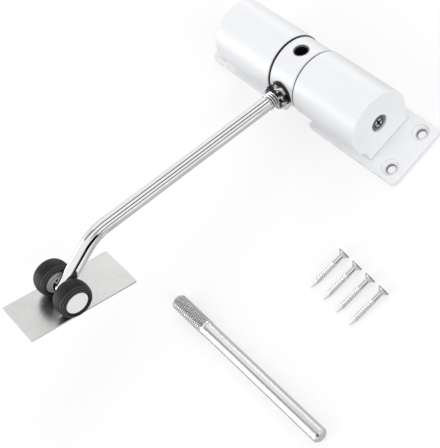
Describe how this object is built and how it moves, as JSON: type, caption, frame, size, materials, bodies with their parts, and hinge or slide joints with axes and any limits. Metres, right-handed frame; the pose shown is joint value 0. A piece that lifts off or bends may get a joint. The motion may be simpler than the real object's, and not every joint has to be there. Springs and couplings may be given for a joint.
{
  "type": "spring door closer",
  "caption": "Torsion-spring door closer: white barrel on a base plate, bent chrome arm with twin rubber rollers, strike plate, adjusting rod and screws.",
  "frame": {"origin": "middle of the base plate's mounting face, on the plane that meets the door frame", "axes": "+X along the barrel towards its near end, +Z out of the door frame, the arm reaches to -Y"},
  "size_m": [0.2356, 0.2408, 0.0769],
  "materials": {
    "white_paint": "smooth semi-gloss white powder coat",
    "zinc_steel": "plain zinc-plated steel",
    "dark_steel": "blackened steel",
    "spring_steel": "oiled square spring wire",
    "black_plastic": "black nylon",
    "bronze": "sintered bronze",
    "chrome": "polished chrome plate",
    "dark_chrome": "dark bright nickel, turned",
    "black_oxide": "black oxide",
    "tyre_rubber": "satin moulded rubber",
    "grey_plastic": "moulded polyamide",
    "cap_plastic": "smooth off-white with a bright rim",
    "brushed_strike": "fine-brushed stainless sheet",
    "adhesive_foam": "white adhesive foam",
    "bright_zinc": "bright zinc plate"
  },
  "bodies": {
    "closer_body": {"base_plate": "white_paint", "near_housing": "white_paint", "far_housing": "white_paint", "housing_screws": "zinc_steel", "center_shaft": "zinc_steel", "near_end_screw": "dark_steel", "far_end_screw": "dark_steel", "near_spring": "spring_steel", "far_spring": "spring_steel", "near_spring_anchor": "dark_steel", "far_spring_anchor": "dark_steel", "near_seam_washer": "black_plastic", "far_seam_washer": "black_plastic", "strike_plate": "brushed_strike", "adhesive_pad": "adhesive_foam"},
    "roller_arm": {"hub_ring": "white_paint", "near_bush": "bronze", "far_bush": "bronze", "arm_rod": "chrome", "arm_lock_nut": "dark_chrome", "arm_washer": "black_oxide", "wheel_axle": "zinc_steel", "near_spacer": "black_plastic", "far_spacer": "black_plastic"},
    "near_roller": {"near_tyre": "tyre_rubber", "near_wheel_hub": "grey_plastic", "near_wheel_cap": "cap_plastic"},
    "far_roller": {"far_tyre": "tyre_rubber", "far_wheel_hub": "grey_plastic", "far_wheel_cap": "cap_plastic"},
    "adjusting_rod": {"adjusting_rod": "bright_zinc"},
    "mounting_screws": {"mounting_screws": "bright_zinc"}
  },
  "joints": [
    {"name": "arm_swing", "type": "hinge", "parent": "closer_body", "child": "roller_arm", "pos_m": [0, 0, 0.0239], "axis": [-1, 0, 0], "range_deg": [0, 110], "stiffness_Nm_per_rad": 1.5, "springref_deg": -68.75, "deforming": ["near_spring", "far_spring"]},
    {"name": "near_roller_spin", "type": "hinge", "parent": "roller_arm", "child": "near_roller", "pos_m": [0, -0.18731, 0.06321], "axis": [1, 0, 0], "continuous": true},
    {"name": "far_roller_spin", "type": "hinge", "parent": "roller_arm", "child": "far_roller", "pos_m": [0, -0.18731, 0.06321], "axis": [1, 0, 0], "continuous": true},
    {"name": "rod_lift", "type": "slide", "parent": "closer_body", "child": "adjusting_rod", "axis": [0, 0, 1], "range_m": [0, 0.06]},
    {"name": "screws_lift", "type": "slide", "parent": "closer_body", "child": "mounting_screws", "axis": [0, 0, 1], "range_m": [0, 0.06]}
  ]
}
